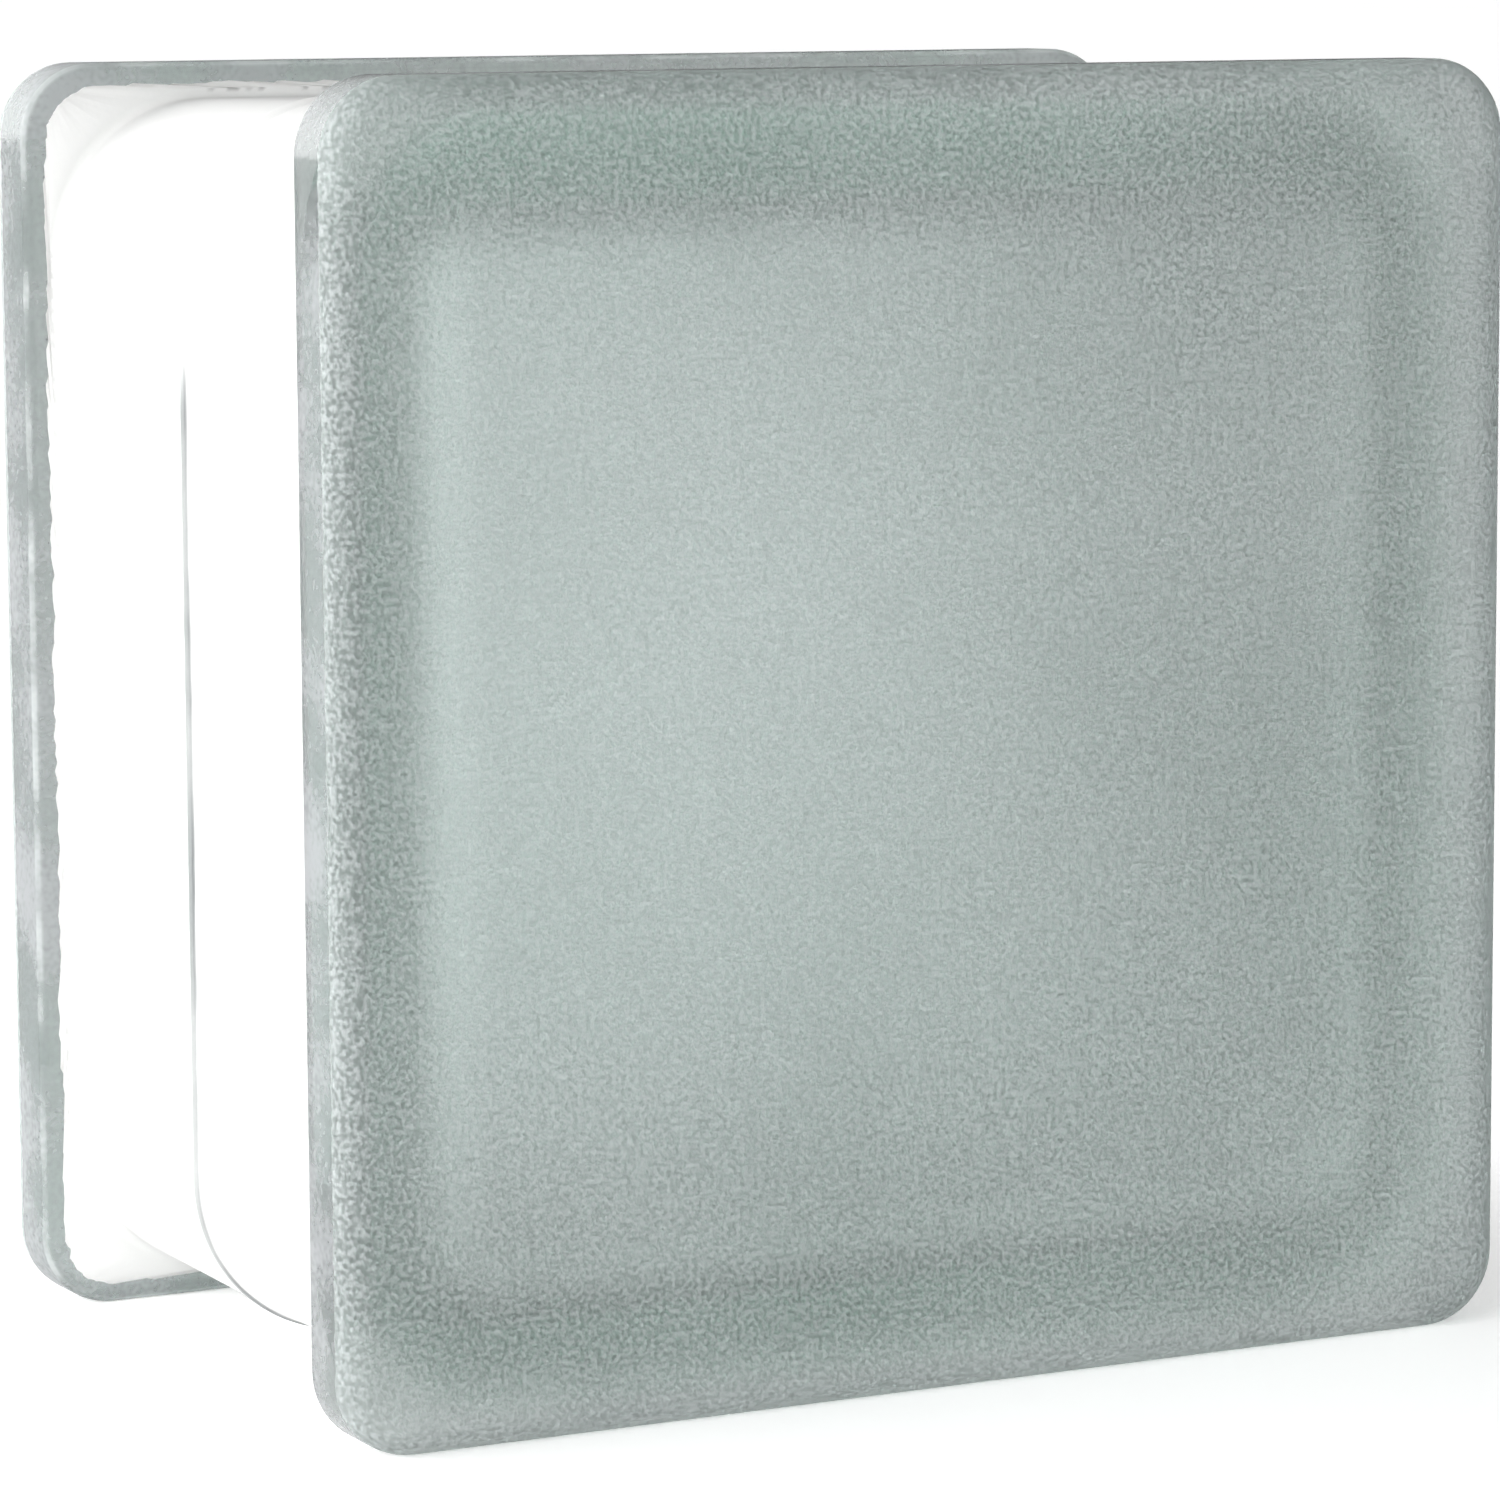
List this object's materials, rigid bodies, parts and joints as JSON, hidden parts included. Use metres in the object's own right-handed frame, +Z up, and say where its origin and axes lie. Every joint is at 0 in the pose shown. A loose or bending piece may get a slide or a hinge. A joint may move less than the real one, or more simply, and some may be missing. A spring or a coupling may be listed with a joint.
{
  "type": "glass block",
  "caption": "Hollow square glass block: two pressed half shells fused at mid-depth, satin faces, and a white-coated mortar channel round its four sides.",
  "frame": {"origin": "middle of the underside, level with the two lower flange rims that the block stands on", "axes": "+X along the block's width, to the right when it is seen from the front; +Y along its depth, from the front face to the back face; +Z up"},
  "size_m": [0.146, 0.098, 0.146],
  "materials": {
    "pressed_glass": "pressed soda-lime glass, faintly green; satin-etched outer face, clear rippled flanges",
    "edge_coating": "matte white bonding coat"
  },
  "bodies": {
    "root": {"front_shell": "pressed_glass", "back_shell": "pressed_glass", "edge_coating": "edge_coating"}
  },
  "joints": []
}
